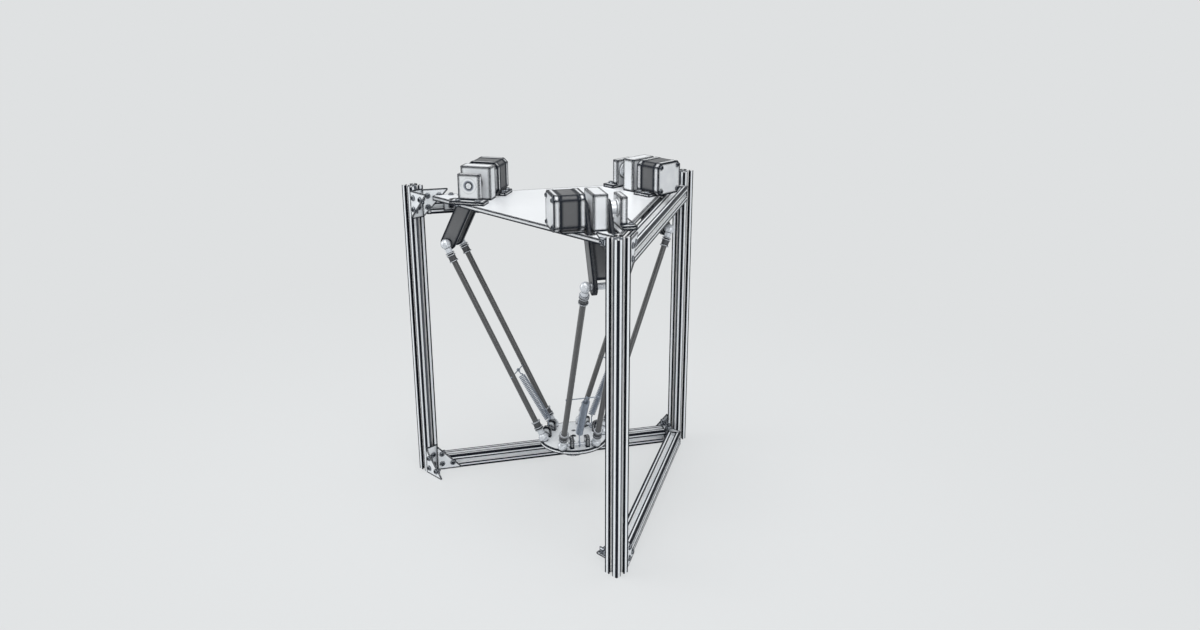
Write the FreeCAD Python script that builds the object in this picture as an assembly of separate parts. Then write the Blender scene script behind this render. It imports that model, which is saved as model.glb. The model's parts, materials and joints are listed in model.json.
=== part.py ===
import FreeCAD, Part
import math
import os

# Delta robot: three motor-driven arms on a triangular frame of slotted profile carry one
# round tool plate through three pairs of parallel rods.
# Millimetres, +Z up. The origin is the centre of the footprint's box on the bench, +X points
# from the left post to the right post, and +Y to the rear post. The front side is open.

Vec = FreeCAD.Vector
Z = Vec(0, 0, 1)

# Layout: everything else is placed from these
axis_r = 124.0             # motor axis, from the centre of the robot
axis_to_post = 92.5064     # from a motor axis outward to its post's axis
axis_height = 22.5         # motor axis, above the top plate
post_height = 413.0
beam_drop = 18.0           # top of the upper beams, below the top of the posts

# Slotted profile
profile = 20.0             # side of the square profile
profile_corner = 1.0
slot_mouth = 6.0
slot_lip = 1.8
slot_width = 11.0
slot_cheek = 1.4           # straight wall behind each lip
slot_depth = 6.2
slot_floor = 5.4
core_r = 2.5               # bore along every profile

# Corner blocks between post and beam
block_reach = 22.0         # from the post axis to the end of the beam
tongue_play = 0.1
tongue_length = 16.0
tongue_depth = 1.6
spigot_play = 0.1
spigot_length = 12.0
sink_depth = 2.4
block_relief = 0.3         # round a gusset plate and its screw heads

# Triangular gusset plates
gusset_width = 36.0
gusset_height = 38.0
gusset_sheet = 1.5
gusset_start = 10.8        # first edge, measured along the side from the post axis
gusset_floor_gap = 1.0
gusset_top_gap = 4.0       # below the top of the post
gusset_corner = 1.5
gusset_edge = 7.0          # hole row beside the upright edge
gusset_row = 9.0           # hole row beside the level edge
gusset_pitch = 15.0
flange_width = 19.0

# Top plate
plate_thickness = 6.0
plate_inset = 11.8         # straight edges, inward of the line through the post axes
plate_corner_start = 27.0  # where the straight edge ends, along the side from the post axis
plate_bevel = 0.4
slot_behind = 11.0         # arm slots, inward of the motor axis
slot_ahead = 33.0          # arm slots, outward of the motor axis
slot_corner = 3.0
slot_gap = 2.0             # beside each arm plate
notch_gap = 0.4            # round the gusset screws' heads and the overhanging nuts

# Angle brackets under the top plate
bracket_station = 48.0     # along the beam, from each post
bracket_width = 20.0
bracket_leg = 16.0
bracket_shelf = 10.0
bracket_screw = 6.4        # plate screw, from the beam's face
bracket_sheet = 2.0
swing_up = 6.0             # degrees of travel above the rest angle
arm_clearance = 1.0        # between a bracket and the passing arm plates

# Drive units
motor_size = 42.3
motor_chamfer = 5.2
stator_size = 41.6
stator_chamfer = 5.0
bell_front = 7.6
stator_length = 21.6
bell_rear = 8.3
motor_bolt_pitch = 31.0
motor_gap = 1.0            # between arm plate and motor face
foot_lug = 8.0
foot_lug_height = 4.5
foot_start = 2.0           # behind the motor face
foot_length = 27.0
foot_screw_inset = 7.0
foot_joint = 0.3           # between the motor's side and the foot's lug
block_width = 40.4         # big bearing block
block_length = 18.0
block_top = 20.3           # above the motor axis
block_screw_inset = 6.0
block_screw_depth = 9.0    # screw inside the block
block_tap_depth = 10.0
outboard_width = 29.4
outboard_length = 8.6
outboard_top = 14.8
outboard_gap = 8.8         # between arm plate and outboard block
outboard_boss_r = 9.5
outboard_boss = 1.6
outboard_foot_width = 46.0
outboard_foot_length = 18.2
outboard_foot = 4.6
foot_screw_pitch = 27.0
edge_chamfer = 0.6

# Shaft and ball bearings
shaft_r = 4.0
shaft_play = 0.05
shaft_room = 1.2           # round the shaft between its bearings
shaft_short = 0.2          # shaft end, inside the outboard block's face
bearing_r = 7.0
bearing_width = 4.0
outer_race = 1.0
inner_race = 0.7
bearing_step = 0.4
spacer_r = 6.0
collar_r = 8.0
collar_length = 6.6
side_play = 0.3

# Upper arms
arm_length = 90.0
arm_angle = 64.0           # below the horizontal
arm_width = 20.0
arm_sheet = 5.0
arm_inside = 11.0          # from the arm's middle to each plate
web_start = 40.0
web_end = 84.0
web_recess = 1.4
web_sheet = 4.0

# Ball joints and rods
rod_half_spacing = 23.0
rod_length = 290.0         # between ball centres
rod_r = 3.75
rod_bore = 2.75
ball_r = 6.6
axle_r = 4.0
seat_r = 4.35
seat_play = 0.05
open_play = 0.9            # at the two pivots that close the linkage
neck_end = 12.0
ring_r = 6.0
ring_width = 1.5
ring_gap = 1.5
sleeve_r = 5.0
sleeve_end = 24.5

# Springs
wire_station = 94.0        # along the rods, from the lower ball
wire_r = 0.7
wire_play = 0.1            # in the holes through the rods
wire_reach = 0.3           # beyond the rods
wire_head_r = 1.1
wire_head = 0.5
spring_r = 5.2
spring_wire = 1.4
spring_foot = 16.0         # lower end turn, above the lower shaft
spring_head = 9.0          # upper end turn, below the cross wire along the spring
spring_turns = 20
hook_r = 0.6               # wire of the eyes
shank_r = 0.5
hook_play = 0.4            # upper eye, round the cross wire
eye_play = 1.0             # lower eye, round the lower shaft

# Effector
ball_axis_r = 35.0
effector_r = 46.0
effector_thickness = 6.0
effector_drop = 4.6        # top of the disc, below the ball axes
effector_edge = 0.8
dimple_gap = 0.3           # between each ball and its dimple in the disc
lug_inside = 8.0
lug_sheet = 5.4
lug_inner_r = 28.0
lug_outer_r = 39.5
lug_height = 15.0
lug_round = 3.5
lower_shaft_r = 2.0
tool_bore_r = 2.5
tool_flange_r = 21.0
tool_flange = 3.0
tool_boss_r = 14.0
tool_boss = 15.0
tool_bevel = 0.6
tool_pcd = 20.0
tool_hole_r = 1.25
tool_hole_depth = 8.0
tool_flange_pcd = 34.0
tool_screw_count = 4

# Screws and nuts
screw_r = 1.95
screw_hole_r = 2.2
head_r = 3.6
head_height = 2.4
crown_share = 0.72         # top of the button head, against its full radius
seat_gap = 0.4             # round a counterbored head
socket_r = 1.4
socket_depth = 1.2
nut_across = 7.0
nut_height = 3.0
tnut_length = 9.6
tnut_width = 9.8
tnut_height = 3.4
tnut_bevel = 1.8
tnut_gap = 0.1             # between a slot nut and the lips
gusset_screw = 7.0
small_screw_r = 1.45
small_head_r = 2.75
small_head_height = 2.0

# Worked out from the sizes above
half = profile / 2
circumradius = axis_r + axis_to_post
inradius = circumradius / 2
post_spacing = circumradius * math.sqrt(3)
front_reach = inradius + half + gusset_sheet + head_height
rear_reach = circumradius + half
centre_y = (rear_reach - front_reach) / 2
upper_beam_top = post_height - beam_drop
plate_bottom = upper_beam_top
plate_top = plate_bottom + plate_thickness
axis_z = plate_top + axis_height
lower_beam_z = half
upper_beam_z = upper_beam_top - half
arm_outside = arm_inside + arm_sheet
theta = math.radians(arm_angle)
elbow_r = axis_r + arm_length * math.cos(theta)
elbow_z = axis_z - arm_length * math.sin(theta)
psi = math.acos((elbow_r - ball_axis_r) / rod_length)
ball_z = elbow_z - rod_length * math.sin(psi)
disc_top = ball_z - effector_drop
disc_bottom = disc_top - effector_thickness
motor_face = -arm_outside - motor_gap
stator_front = motor_face - bell_front
stator_rear = stator_front - stator_length
motor_end = stator_rear - bell_rear
outboard_start = arm_outside + outboard_gap

posts = {
    "left": Vec(-post_spacing / 2, -inradius, 0),
    "right": Vec(post_spacing / 2, -inradius, 0),
    "rear": Vec(0, circumradius, 0),
}
unit_angle = {name: math.degrees(math.atan2(place.y, place.x)) for name, place in posts.items()}
outer_plane = -half - gusset_sheet
inner_plane = half


def box(x0, x1, y0, y1, z0, z1):
    return Part.makeBox(x1 - x0, y1 - y0, z1 - z0, Vec(x0, y0, z0))


def rod(radius, length, start, direction=Z):
    return Part.makeCylinder(radius, length, start, direction)


def prism(points, thickness):
    """Upright prism over a closed outline of (x, y) points."""
    wire = Part.makePolygon([Vec(x, y, 0) for x, y in points + points[:1]])
    return Part.Face(wire).extrude(Vec(0, 0, thickness))


def fuse(shapes):
    return shapes[0].multiFuse(shapes[1:]).removeSplitter()


def cut(shape, tools):
    return shape.cut(Part.makeCompound(tools))


def round_edges(shape, radius, wanted):
    edges = [edge for edge in shape.Edges if wanted(edge)]
    return shape.makeFillet(radius, edges)


def bevel_edges(shape, size, wanted):
    edges = [edge for edge in shape.Edges if wanted(edge)]
    return shape.makeChamfer(size, edges)


def runs_along(direction):
    def test(edge):
        if not isinstance(edge.Curve, Part.Line):
            return False
        return abs(abs(edge.Curve.Direction.dot(direction)) - 1) < 1e-6
    return test


def turned(shape, degrees, about=Z, base=Vec(0, 0, 0)):
    copy = shape.copy()
    copy.rotate(base, about, degrees)
    return copy


def moved(shape, offset):
    copy = shape.copy()
    copy.translate(offset)
    return copy


def in_unit(shape, name):
    """From a drive unit's own axes (x outward, y along the motor axis) to the robot's."""
    return turned(shape, unit_angle[name])


def side_frame(start, end):
    """Placement whose x runs from one post to another, with y inward at the post axes."""
    along = posts[end] - posts[start]
    angle = math.degrees(math.atan2(along.y, along.x))
    inward = Vec(0, 0, 0) - posts[start]
    mirrored = along.cross(inward).z < 0
    return posts[start], angle, mirrored


def on_side(shape, start, end):
    origin, angle, mirrored = side_frame(start, end)
    copy = shape.copy()
    if mirrored:
        copy = copy.mirror(Vec(0, 0, 0), Vec(0, 1, 0))
    copy.rotate(Vec(0, 0, 0), Z, angle)
    copy.translate(origin)
    return copy


def write(name, shapes):
    placed = Part.makeCompound(shapes) if len(shapes) > 1 else shapes[0].copy()
    placed = moved(placed, Vec(0, -centre_y, 0))
    placed.exportStep("parts/" + name + ".step")
    count = len(placed.Solids)
    print("%-24s solids %3d valid %s" % (name, count, placed.isValid()))


# Hardware: each is made at the origin with its head on z = 0 and its shank downward
def screw(length, radius=screw_r, head=head_r, height=head_height):
    crown = head * crown_share
    points = [
        (0, -length), (radius, -length), (radius, 0), (head, 0), (head, height * 0.4),
        (crown, height), (socket_r, height), (socket_r, height - socket_depth),
        (0, height - socket_depth),
    ]
    wire = Part.makePolygon([Vec(x, 0, z) for x, z in points + points[:1]])
    return Part.Face(wire).revolve(Vec(0, 0, 0), Z, 360)


def hexagon_nut():
    points = []
    for corner in range(6):
        angle = math.radians(60 * corner)
        reach = nut_across / 2 / math.cos(math.radians(30))
        points.append((reach * math.cos(angle), reach * math.sin(angle)))
    return prism(points, nut_height).cut(rod(screw_r, nut_height, Vec(0, 0, 0)))


def slot_nut():
    body = box(-tnut_length / 2, tnut_length / 2, -tnut_width / 2, tnut_width / 2, -tnut_height, 0)
    body = bevel_edges(body, tnut_bevel, lambda edge: edge.CenterOfMass.z < -tnut_height * 0.9)
    return body.cut(rod(screw_r, tnut_height, Vec(0, 0, -tnut_height)))


def aimed(shape, place, direction):
    """Turn a screw or nut so that its z axis points along direction, at a place."""
    copy = shape.copy()
    turn = FreeCAD.Rotation(Z, direction)
    copy.Placement = FreeCAD.Placement(place, turn)
    return copy


# Slotted profile, along z from z = 0
def profile_bar(length):
    outline = box(-half, half, -half, half, 0, length)
    outline = round_edges(outline, profile_corner, runs_along(Z))
    neck = half - slot_lip
    cheek = neck - slot_cheek
    floor = half - slot_depth
    slot = [
        (half + 1, -slot_mouth / 2), (neck, -slot_mouth / 2), (neck, -slot_width / 2),
        (cheek, -slot_width / 2), (floor, -slot_floor / 2), (floor, slot_floor / 2),
        (cheek, slot_width / 2), (neck, slot_width / 2), (neck, slot_mouth / 2),
        (half + 1, slot_mouth / 2),
    ]
    cutter = prism(slot, length)
    tools = [turned(cutter, 90 * quarter) for quarter in range(4)]
    tools.append(rod(core_r, length, Vec(0, 0, 0)))
    return cut(outline, tools)


def make_posts():
    bar = profile_bar(post_height)
    for name, place in posts.items():
        write("post_" + name, [moved(bar, place)])


def make_beams():
    length = post_spacing - 2 * block_reach
    bar = turned(profile_bar(length), 90, Vec(0, 1, 0))
    for level, height in (("upper", upper_beam_z), ("lower", lower_beam_z)):
        for name, start in (("left", "left"), ("right", "right")):
            placed = moved(bar, Vec(block_reach, 0, height))
            write(level + "_beam_" + name, [on_side(placed, start, "rear")])


# Corner block: a stub of the beam's section whose foot lies on the post's face
def stub():
    return box(0, block_reach, -half, half, -half, half)


def block_holes(inner_holes):
    """Threaded holes for the gusset screws, in the side's own axes."""
    station = gusset_start + gusset_edge
    depth = gusset_screw
    tools = []
    for plane, direction in inner_holes:
        tools.append(rod(screw_r, depth, Vec(station, plane, 0), Vec(0, direction, 0)))
    return tools


def post_face_tools(sign):
    """The half space taken by a post, and its counterbored screw, for a face at y = sign*half."""
    far = 3 * block_reach
    keep_out = box(-far, far, -far, far, -far, far)
    keep_out = moved(keep_out, Vec(0, -sign * (far - half), 0))
    start = Vec(0, sign * (half - tongue_depth), 0)
    hole = rod(screw_hole_r, far, start, Vec(0, sign, 0))
    seat = rod(head_r + seat_gap, far, Vec(0, sign * (half + sink_depth), 0), Vec(0, sign, 0))
    return [keep_out], [hole, seat]


def gusset_relief(start, end, plane):
    """Room in a corner block for a gusset plate that stands against it."""
    deep = half + gusset_sheet + head_height + block_relief
    first = half if "rear" not in (start, end) else gusset_start - block_relief
    low, high = (half, deep) if plane == "inner" else (-deep, -half)
    room = box(first, first + gusset_width, low, high, -half, half)
    return on_side(room, start, end)


def tongue(sign):
    width = slot_mouth / 2 - tongue_play
    low = min(sign * (half - tongue_depth), sign * half)
    return box(-width, width, low, low + tongue_depth, -tongue_length / 2, tongue_length / 2)


def spigot():
    return rod(core_r - spigot_play, spigot_length, Vec(block_reach, 0, 0), Vec(1, 0, 0))


def corner_block(name, level):
    """One block at the left or right post, or the double block at the rear post."""
    if name == "rear":
        sides = [("rear", "left", -half, 1), ("rear", "right", half, -1)]
        sign = -1
    else:
        sides = [(name, "rear", half, -1)] if name == "left" else [(name, "rear", -half, 1)]
        sign = 1
    keep_out, holes = post_face_tools(sign)
    base = posts[name]
    arms = [on_side(stub(), start, end) for start, end, plane, way in sides]
    body = fuse(arms) if len(arms) > 1 else arms[0]
    body = cut(body, [moved(tool, base) for tool in keep_out])
    spigots = [on_side(spigot(), start, end) for start, end, plane, way in sides]
    body = fuse([body, moved(tongue(sign), base)] + spigots)
    tools = [moved(tool, base) for tool in holes]
    for start, end, plane, way in sides:
        tools += [on_side(tool, start, end) for tool in block_holes([(plane, way)])]
    tools += [gusset_relief(start, end, plane) for start, end, plane in gusset_sides
              if start == name]
    return moved(cut(body, tools), Vec(0, 0, level))


def make_corner_blocks():
    blocks = []
    for name in posts:
        for level in (lower_beam_z, upper_beam_z):
            blocks.append(corner_block(name, level))
    write("corner_blocks", blocks)


# Gusset plates. Each side has one on its outer face at one post and on its inner face at the
# other, so the same plate turns round the frame.
gusset_sides = [
    ("left", "right", "outer"), ("right", "left", "inner"),
    ("left", "rear", "inner"), ("rear", "left", "outer"),
    ("right", "rear", "outer"), ("rear", "right", "inner"),
]


def gusset_holes():
    low = gusset_row
    return [(gusset_edge, low), (gusset_edge + gusset_pitch, low), (gusset_edge, low + gusset_pitch)]


def gusset_plate(start_s):
    points = [(0, 0), (gusset_width, 0), (0, gusset_height)]
    plate = prism(points, gusset_sheet)
    plate = round_edges(plate, gusset_corner, lambda edge: runs_along(Z)(edge))
    tools = [rod(screw_hole_r, gusset_sheet, Vec(x, y, 0)) for x, y in gusset_holes()]
    plate = cut(plate, tools)
    # stand it up: outline x stays, outline y becomes z, thickness runs towards -y
    plate = turned(plate, 90, Vec(1, 0, 0))
    return moved(plate, Vec(start_s, gusset_sheet, 0))


def gusset_levels():
    """Foot height and direction of the upright edge at the lower and upper corners."""
    return [(gusset_floor_gap, 1), (post_height - gusset_top_gap, -1)]


def flip_level(shape, level, way):
    copy = shape if way > 0 else shape.mirror(Vec(0, 0, 0), Z)
    return moved(copy, Vec(0, 0, level))


def flange(plane):
    """Second leaf of a front gusset, flat on the post's side face."""
    if plane == "outer":
        y0 = outer_plane
    else:
        y0 = inner_plane + gusset_sheet - flange_width
    leaf = box(half, half + gusset_sheet, y0, y0 + flange_width, 0, gusset_height)
    tools = []
    for height in (gusset_row, gusset_row + gusset_pitch):
        tools.append(rod(screw_hole_r, gusset_sheet, Vec(half, 0, height), Vec(1, 0, 0)))
    return cut(leaf, tools)


def plane_start(plane):
    return outer_plane if plane == "outer" else inner_plane


def make_gussets():
    flat = []
    folded = []
    for start, end, plane in gusset_sides:
        front = "rear" not in (start, end)
        first = half if front else gusset_start
        plate = moved(gusset_plate(first), Vec(0, plane_start(plane), 0))
        if front:
            plate = fuse([plate, flange(plane)])
        for level, way in gusset_levels():
            placed = on_side(flip_level(plate, level, way), start, end)
            (folded if front else flat).append(placed)
    write("side_gussets", flat)
    write("front_gussets", folded)


def gusset_hardware():
    """Screws and slot nuts in every gusset hole, in the robot's axes."""
    screws = []
    nuts = []
    plain = screw(gusset_screw)
    nut = slot_nut()
    seat_depth = slot_lip + tnut_gap
    for start, end, plane in gusset_sides:
        front = "rear" not in (start, end)
        first = half if front else gusset_start
        out = -1 if plane == "outer" else 1
        face = out * (half + gusset_sheet)
        for level, way in gusset_levels():
            for x, z in gusset_holes():
                height = level + way * z
                station = first + x
                place = Vec(station, face, height)
                screws.append(on_side(aimed(plain, place, Vec(0, out, 0)), start, end))
                at_beam = min(abs(height - lower_beam_z), abs(height - upper_beam_z)) < half
                over_bar = at_beam and not front
                if over_bar and station < block_reach:
                    continue
                sunk = seat_depth if over_bar else 0
                depth = Vec(station, out * (half - sunk), height)
                nuts.append(on_side(aimed(nut, depth, Vec(0, out, 0)), start, end))
            if front:
                for z in (gusset_row, gusset_row + gusset_pitch):
                    height = level + way * z
                    place = Vec(half + gusset_sheet, 0, height)
                    screws.append(on_side(aimed(plain, place, Vec(1, 0, 0)), start, end))
                    depth = Vec(half - seat_depth, 0, height)
                    nuts.append(on_side(aimed(nut, depth, Vec(1, 0, 0)), start, end))
    return screws, nuts


def block_hardware():
    screws = []
    nuts = []
    length = sink_depth + slot_lip + tnut_height
    for name, base in posts.items():
        sign = -1 if name == "rear" else 1
        for level in (lower_beam_z, upper_beam_z):
            place = base + Vec(0, sign * (half + sink_depth), level)
            screws.append(aimed(screw(length), place, Vec(0, sign, 0)))
            depth = base + Vec(0, sign * (half - slot_lip - tnut_gap), level)
            nuts.append(aimed(slot_nut(), depth, Vec(0, sign, 0)))
    return screws, nuts


# Top plate with two rounded slots for each arm
def plate_outline():
    corner = Vec(plate_corner_start, plate_inset, 0)
    points = []
    for start, end in (("left", "right"), ("right", "rear"), ("rear", "left")):
        for first, second in ((start, end), (end, start)):
            marker = on_side(Part.Vertex(corner), first, second)
            points.append((marker.Point.x, marker.Point.y))
    return points


def slot_cutter(side):
    inner = arm_inside - slot_gap
    outer = arm_outside + slot_gap
    low, high = (inner, outer) if side > 0 else (-outer, -inner)
    tool = box(axis_r - slot_behind, axis_r + slot_ahead, low, high, plate_bottom, plate_top)
    return round_edges(tool, slot_corner, runs_along(Z))


def bracket_places():
    """Stations of the angle brackets along the two upper beams."""
    places = []
    for name in ("left", "right"):
        for station in (bracket_station, post_spacing - bracket_station):
            places.append((name, station))
    return places


def bracket_screw_n():
    return half + bracket_screw


def motor_foot_screws():
    """Where the motor foot's screws go down through the plate, in the unit's axes."""
    lug = axis_r - motor_size / 2 - foot_lug / 2
    start = motor_face - foot_start
    return [(lug, start - foot_screw_inset), (lug, start - foot_length + foot_screw_inset)]


def outboard_foot_screws():
    station = outboard_start + outboard_foot_length - (outboard_foot_length - outboard_length) / 2
    return [(axis_r + way * foot_screw_pitch / 2, station) for way in (-1, 1)]


def block_screw_places():
    reach = block_width / 2 - block_screw_inset
    return [(axis_r - reach, 0), (axis_r + reach, 0)]


def outer_nut_room(place):
    """Room in the plate's edge for the nut under the overhanging end of an outboard foot."""
    x, y = place
    reach = nut_across / 2 / math.cos(math.radians(30)) + notch_gap
    return rod(reach, plate_thickness, Vec(x, y, plate_bottom))


def make_top_plate():
    plate = moved(prism(plate_outline(), plate_thickness), Vec(0, 0, plate_bottom))
    plate = bevel_edges(plate, plate_bevel, lambda edge: edge.CenterOfMass.z > plate_top - 0.01)
    tools = []
    inner_pad, outer_pad = outboard_foot_screws()
    for name in unit_angle:
        tools += [in_unit(slot_cutter(side), name) for side in (-1, 1)]
        for x, y in [*motor_foot_screws(), inner_pad, *block_screw_places()]:
            tools.append(in_unit(rod(screw_hole_r, plate_thickness, Vec(x, y, plate_bottom)), name))
        tools.append(in_unit(outer_nut_room(outer_pad), name))
    for name, station in bracket_places():
        hole = rod(screw_hole_r, plate_thickness, Vec(station, bracket_screw_n(), plate_bottom))
        tools.append(on_side(hole, name, "rear"))
    reach = head_r + notch_gap
    deep = half + gusset_sheet + head_height + notch_gap
    for start, end, plane in gusset_sides:
        if plane == "outer":
            continue
        first = half if "rear" not in (start, end) else gusset_start
        station = first + gusset_edge + gusset_pitch
        notch = box(station - reach, station + reach, 0, deep, plate_bottom, plate_top)
        tools.append(on_side(notch, start, end))
    write("top_plate", [cut(plate, tools)])


def arm_room():
    """What the arm plates of all three units pass through near the top of their travel."""
    reach = arm_width / 2 + arm_clearance
    tools = []
    for y0 in (arm_inside, -arm_outside):
        slab = box(-reach, reach, y0 - arm_clearance, y0 + arm_sheet + arm_clearance, -arm_length, 0)
        for rise in (0, swing_up):
            raised = turned(swing(slab), -rise, Vec(0, 1, 0), Vec(axis_r, 0, axis_z))
            tools += [in_unit(raised, name) for name in unit_angle]
    return tools


def make_brackets():
    brackets = []
    room = arm_room()
    low = plate_bottom - bracket_leg
    for name, station in bracket_places():
        x0 = station - bracket_width / 2
        x1 = station + bracket_width / 2
        wall = box(x0, x1, half, half + bracket_sheet, low, plate_bottom)
        shelf = box(x0, x1, half, half + bracket_shelf, plate_bottom - bracket_sheet, plate_bottom)
        angle = fuse([wall, shelf])
        holes = [
            rod(screw_hole_r, bracket_sheet, Vec(station, half, upper_beam_z), Vec(0, 1, 0)),
            rod(screw_hole_r, bracket_sheet,
                Vec(station, bracket_screw_n(), plate_bottom - bracket_sheet)),
        ]
        brackets.append(cut(on_side(cut(angle, holes), name, "rear"), room))
    write("plate_brackets", brackets)


def bracket_hardware():
    screws = []
    nuts = []
    length = bracket_sheet + slot_lip + tnut_height
    through = plate_thickness + bracket_sheet + nut_height
    for name, station in bracket_places():
        face = Vec(station, half + bracket_sheet, upper_beam_z)
        screws.append(on_side(aimed(screw(length), face, Vec(0, 1, 0)), name, "rear"))
        depth = Vec(station, half - slot_lip - tnut_gap, upper_beam_z)
        nuts.append(on_side(aimed(slot_nut(), depth, Vec(0, 1, 0)), name, "rear"))
        top = Vec(station, bracket_screw_n(), plate_top)
        screws.append(on_side(moved(screw(through), top), name, "rear"))
        below = Vec(station, bracket_screw_n(), plate_bottom - bracket_sheet - nut_height)
        nuts.append(on_side(moved(hexagon_nut(), below), name, "rear"))
    return screws, nuts


def make_frame_hardware():
    screws = []
    nuts = []
    for pair in (gusset_hardware(), block_hardware(), bracket_hardware()):
        screws += pair[0]
        nuts += pair[1]
    write("frame_screws", screws)
    write("frame_nuts", nuts)


# Drive units, in unit axes: x outward, y along the motor axis, the arm's middle at y = 0
def square_body(size, chamfer, y0, y1):
    body = box(axis_r - size / 2, axis_r + size / 2, y0, y1, axis_z - size / 2, axis_z + size / 2)
    return bevel_edges(body, chamfer, runs_along(Vec(0, 1, 0)))


def motor_bolt_places():
    reach = motor_bolt_pitch / 2
    return [(x * reach, z * reach) for x in (-1, 1) for z in (-1, 1)]


def motor_bells():
    shaft_way = rod(shaft_r + shaft_play, bell_front, Vec(axis_r, stator_front, axis_z),
                    Vec(0, 1, 0))
    face = square_body(motor_size, motor_chamfer, stator_front, motor_face).cut(shaft_way)
    back = square_body(motor_size, motor_chamfer, motor_end, stator_rear)
    holes = []
    for x, z in motor_bolt_places():
        through = Vec(axis_r + x, motor_end, axis_z + z)
        holes.append(rod(small_screw_r, bell_rear, through, Vec(0, 1, 0)))
        tapped = Vec(axis_r + x, stator_front, axis_z + z)
        holes.append(rod(small_screw_r, bell_front, tapped, Vec(0, 1, 0)))
    return [cut(face, holes), cut(back, holes)]


def motor_stator():
    return square_body(stator_size, stator_chamfer, stator_rear, stator_front)


def motor_screws():
    bolt = screw(bell_rear, small_screw_r, small_head_r, small_head_height)
    return [aimed(bolt, Vec(axis_r + x, motor_end, axis_z + z), Vec(0, -1, 0))
            for x, z in motor_bolt_places()]


def motor_foot():
    start = motor_face - foot_start
    end = start - foot_length
    inner = axis_r - motor_size / 2
    bottom = axis_z - motor_size / 2
    sheet = box(inner - foot_lug, axis_r + motor_size / 2, end, start, plate_top, bottom)
    lug = box(inner - foot_lug, inner - foot_joint, end, start, plate_top, plate_top + foot_lug_height)
    body = fuse([sheet, lug])
    return cut(body, [rod(screw_hole_r, foot_lug_height, Vec(x, y, plate_top))
                      for x, y in motor_foot_screws()])


def bearing_pockets():
    """The big block's bearing seats, as (outer face, way in)."""
    reach = block_length / 2
    return [(-reach, 1), (reach, -1)]


def bearing_block():
    wide = block_width / 2
    reach = block_length / 2
    body = box(axis_r - wide, axis_r + wide, -reach, reach, plate_top, axis_z + block_top)
    body = bevel_edges(body, edge_chamfer, lambda edge: edge.CenterOfMass.z > plate_top + 1)
    tools = [rod(shaft_r + shaft_room, block_length, Vec(axis_r, -reach, axis_z), Vec(0, 1, 0))]
    for face, way in bearing_pockets():
        tools.append(rod(bearing_r, bearing_width, Vec(axis_r, face, axis_z), Vec(0, way, 0)))
    for x, y in block_screw_places():
        tools.append(rod(screw_r, block_tap_depth, Vec(x, y, plate_top)))
    return cut(body, tools)


def outboard_block():
    y0 = outboard_start
    y1 = y0 + outboard_length
    wide = outboard_width / 2
    wall = box(axis_r - wide, axis_r + wide, y0, y1, plate_top, axis_z + outboard_top)
    wall = bevel_edges(wall, edge_chamfer, lambda edge: edge.CenterOfMass.z > plate_top + 1)
    foot_half = outboard_foot_width / 2
    foot_end = y0 + outboard_foot_length
    foot = box(axis_r - foot_half, axis_r + foot_half, y0, foot_end, plate_top,
               plate_top + outboard_foot)
    boss = rod(outboard_boss_r, outboard_boss, Vec(axis_r, y0, axis_z), Vec(0, -1, 0))
    body = fuse([wall, foot, boss])
    tools = [
        rod(bearing_r, bearing_width, Vec(axis_r, y1 - bearing_step, axis_z), Vec(0, -1, 0)),
        rod(bearing_r, bearing_step, Vec(axis_r, y1, axis_z), Vec(0, -1, 0)),
        rod(shaft_r + shaft_room, outboard_length + outboard_boss,
            Vec(axis_r, y0 - outboard_boss, axis_z), Vec(0, 1, 0)),
    ]
    tools += [rod(screw_hole_r, outboard_foot, Vec(x, y, plate_top))
              for x, y in outboard_foot_screws()]
    return cut(body, tools)


def ball_bearing(face, way):
    ring = rod(bearing_r, bearing_width, Vec(axis_r, face, axis_z), Vec(0, way, 0))
    ring = ring.cut(rod(shaft_r + shaft_play, bearing_width, Vec(axis_r, face, axis_z),
                        Vec(0, way, 0)))
    groove_outer = rod(bearing_r - outer_race, bearing_step, Vec(axis_r, face, axis_z),
                       Vec(0, way, 0))
    groove_inner = rod(shaft_r + shaft_play + inner_race, bearing_step,
                       Vec(axis_r, face, axis_z), Vec(0, way, 0))
    return ring.cut(groove_outer.cut(groove_inner))


def ball_bearings():
    rings = [ball_bearing(face, way) for face, way in bearing_pockets()]
    rings.append(ball_bearing(outboard_start + outboard_length - bearing_step, -1))
    return rings


def unit_hardware():
    """Screws and nuts that hold a unit's feet and blocks to the plate."""
    pieces = []
    inner_pad, outer_pad = outboard_foot_screws()
    through = [(place, foot_lug_height, plate_thickness) for place in motor_foot_screws()]
    through += [(inner_pad, outboard_foot, plate_thickness), (outer_pad, outboard_foot, 0)]
    for (x, y), lift, plate in through:
        grip = lift + plate + nut_height
        pieces.append(moved(screw(grip), Vec(x, y, plate_top + lift)))
        pieces.append(moved(hexagon_nut(), Vec(x, y, plate_top - plate - nut_height)))
    for x, y in block_screw_places():
        bolt = screw(plate_thickness + block_screw_depth)
        pieces.append(aimed(bolt, Vec(x, y, plate_bottom), Vec(0, 0, -1)))
    return pieces


# Moving pieces, in unit axes
def drive_shaft():
    start = motor_face - bell_front
    end = outboard_start + outboard_length - shaft_short
    shaft = rod(shaft_r, end - start, Vec(axis_r, start, axis_z), Vec(0, 1, 0))
    spacer_start = block_length / 2 + side_play
    width = arm_inside - spacer_start
    pieces = [shaft]
    for y, way in ((spacer_start, 1), (-spacer_start, -1)):
        pieces.append(rod(spacer_r, width, Vec(axis_r, y, axis_z), Vec(0, way, 0)))
    pieces.append(rod(collar_r, collar_length, Vec(axis_r, arm_outside, axis_z), Vec(0, 1, 0)))
    return fuse(pieces)


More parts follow.
